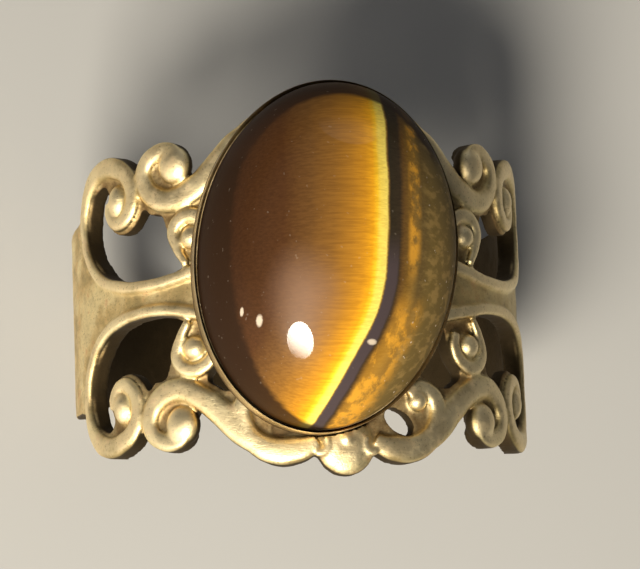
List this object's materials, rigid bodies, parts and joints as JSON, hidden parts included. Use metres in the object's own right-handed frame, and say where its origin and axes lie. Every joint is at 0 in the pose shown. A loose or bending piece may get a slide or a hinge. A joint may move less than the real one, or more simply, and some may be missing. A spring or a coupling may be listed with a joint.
{
  "type": "cocktail ring",
  "caption": "Openwork scroll band with an open shank and a low oval cup that holds a high-domed striped stone.",
  "frame": {"origin": "centre of the finger hole, halfway along its length", "axes": "+Z through the stone, +Y along the finger, +X across the finger"},
  "size_m": [0.0198, 0.0164, 0.0244],
  "materials": {
    "antique_brass": "tarnished, worn bright on the raised wires",
    "cup_brass": "thin rolled sheet, lightly tarnished",
    "solder": "dull grey soft solder",
    "adhesive": "cured clear epoxy, yellowed",
    "tigers_eye": "polished banded quartz with a silky streak"
  },
  "bodies": {
    "root": {"filigree_band": "antique_brass", "bezel_cup": "cup_brass", "solder_joints": "solder", "adhesive_bed": "adhesive", "cabochon": "tigers_eye"}
  },
  "joints": []
}
